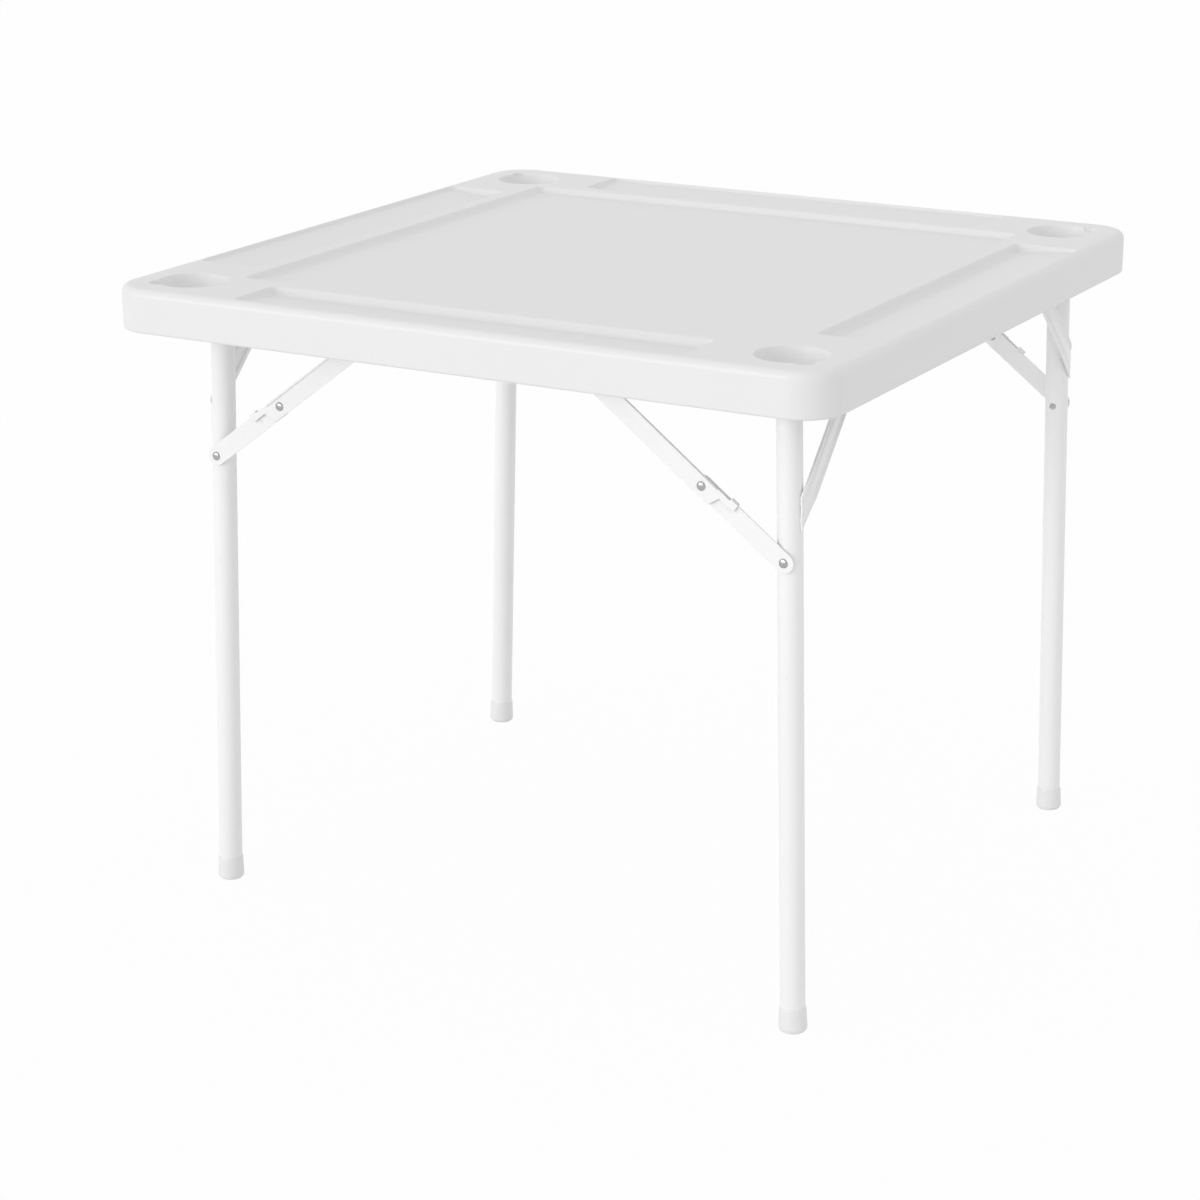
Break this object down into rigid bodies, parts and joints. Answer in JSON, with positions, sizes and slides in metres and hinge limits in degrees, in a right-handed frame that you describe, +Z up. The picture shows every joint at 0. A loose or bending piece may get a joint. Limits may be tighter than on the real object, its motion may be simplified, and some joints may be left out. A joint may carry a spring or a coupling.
{
  "type": "folding card table",
  "caption": "Square moulded table with cup holders and chip trays, on tubular leg frames that fold in under the top with knee braces.",
  "frame": {"origin": "on the floor under the middle of the table", "axes": "+X to the right along the front side, +Y to the back, +Z up"},
  "size_m": [0.88, 0.88, 0.74],
  "materials": {
    "white_plastic": "satin blow-moulded",
    "white_steel": "smooth powder coat",
    "foot_plastic": "slightly translucent",
    "black_plastic": "moulded",
    "bright_steel": "zinc plated"
  },
  "bodies": {
    "top": {"tabletop": "white_plastic", "front_rail": "white_steel", "back_rail": "white_steel", "rail_end_plugs": "white_plastic", "front_left_rail_clip": "black_plastic", "front_middle_rail_clip": "black_plastic", "front_right_rail_clip": "black_plastic", "back_left_rail_clip": "black_plastic", "back_middle_rail_clip": "black_plastic", "back_right_rail_clip": "black_plastic", "rail_clip_screws": "bright_steel", "anchor_strap_screws": "bright_steel", "right_anchor_rivets": "bright_steel", "right_anchor_sleeves": "bright_steel", "left_anchor_rivets": "bright_steel", "left_front_anchor_strap": "white_steel", "left_back_anchor_strap": "white_steel", "leg_clip": "black_plastic"},
    "right_legs": {"right_crossbar": "white_steel", "right_leg_rivets": "bright_steel", "right_leg_spacers": "bright_steel", "right_front_leg": "white_steel", "right_front_foot": "foot_plastic", "right_front_gusset": "white_steel", "right_back_leg": "white_steel", "right_back_foot": "foot_plastic", "right_back_gusset": "white_steel"},
    "right_front_lower_brace": {"right_front_lower_link": "white_steel", "right_front_knee_rivet_tail": "bright_steel"},
    "right_front_upper_brace": {"right_front_upper_link": "white_steel", "right_front_knee_rivet_head": "bright_steel"},
    "right_back_lower_brace": {"right_back_lower_link": "white_steel", "right_back_knee_rivet_tail": "bright_steel"},
    "right_back_upper_brace": {"right_back_upper_link": "white_steel", "right_back_knee_rivet_head": "bright_steel"},
    "left_legs": {"left_crossbar": "white_steel", "left_leg_rivets": "bright_steel", "left_leg_spacers": "bright_steel", "left_front_leg": "white_steel", "left_front_foot": "foot_plastic", "left_front_gusset": "white_steel", "left_back_leg": "white_steel", "left_back_foot": "foot_plastic", "left_back_gusset": "white_steel"},
    "left_front_lower_brace": {"left_front_lower_link": "white_steel", "left_front_knee_rivet_tail": "bright_steel"},
    "left_front_upper_brace": {"left_front_upper_link": "white_steel", "left_front_knee_rivet_head": "bright_steel"},
    "left_back_lower_brace": {"left_back_lower_link": "white_steel", "left_back_knee_rivet_tail": "bright_steel"},
    "left_back_upper_brace": {"left_back_upper_link": "white_steel", "left_back_knee_rivet_head": "bright_steel"}
  },
  "joints": [
    {"name": "right_fold", "type": "hinge", "parent": "top", "child": "right_legs", "pos_m": [0.37, 0, 0.6975], "axis": [0, 1, 0], "range_deg": [0, 91.5]},
    {"name": "right_front_lower_link_turn", "type": "hinge", "parent": "right_legs", "child": "right_front_lower_brace", "pos_m": [0.3745, -0.374, 0.52556], "axis": [0, 1, 0], "range_deg": [0, 51.43]},
    {"name": "right_front_upper_link_turn", "type": "hinge", "parent": "top", "child": "right_front_upper_brace", "pos_m": [0.15, -0.374, 0.6955], "axis": [0, 1, 0], "range_deg": [-37.87, 0]},
    {"name": "right_back_lower_link_turn", "type": "hinge", "parent": "right_legs", "child": "right_back_lower_brace", "pos_m": [0.3745, 0.374, 0.52556], "axis": [0, 1, 0], "range_deg": [0, 51.43]},
    {"name": "right_back_upper_link_turn", "type": "hinge", "parent": "top", "child": "right_back_upper_brace", "pos_m": [0.15, 0.374, 0.6955], "axis": [0, 1, 0], "range_deg": [-37.87, 0]},
    {"name": "left_fold", "type": "hinge", "parent": "top", "child": "left_legs", "pos_m": [-0.37, 0, 0.7], "axis": [0, -1, 0], "range_deg": [0, 91.5]},
    {"name": "left_front_lower_link_turn", "type": "hinge", "parent": "left_legs", "child": "left_front_lower_brace", "pos_m": [-0.3745, -0.3175, 0.52806], "axis": [0, -1, 0], "range_deg": [0, 51.43]},
    {"name": "left_front_upper_link_turn", "type": "hinge", "parent": "top", "child": "left_front_upper_brace", "pos_m": [-0.15, -0.3175, 0.698], "axis": [0, -1, 0], "range_deg": [-37.87, 0]},
    {"name": "left_back_lower_link_turn", "type": "hinge", "parent": "left_legs", "child": "left_back_lower_brace", "pos_m": [-0.3745, 0.3175, 0.52806], "axis": [0, -1, 0], "range_deg": [0, 51.43]},
    {"name": "left_back_upper_link_turn", "type": "hinge", "parent": "top", "child": "left_back_upper_brace", "pos_m": [-0.15, 0.3175, 0.698], "axis": [0, -1, 0], "range_deg": [-37.87, 0]}
  ],
  "couplings": [
    {"joint": "right_front_lower_link_turn", "follows": "right_fold", "ratio": 0.56148},
    {"joint": "right_front_upper_link_turn", "follows": "right_fold", "ratio": -0.41333},
    {"joint": "right_back_lower_link_turn", "follows": "right_fold", "ratio": 0.56148},
    {"joint": "right_back_upper_link_turn", "follows": "right_fold", "ratio": -0.41333},
    {"joint": "left_front_lower_link_turn", "follows": "left_fold", "ratio": 0.56148},
    {"joint": "left_front_upper_link_turn", "follows": "left_fold", "ratio": -0.41333},
    {"joint": "left_back_lower_link_turn", "follows": "left_fold", "ratio": 0.56148},
    {"joint": "left_back_upper_link_turn", "follows": "left_fold", "ratio": -0.41333}
  ]
}
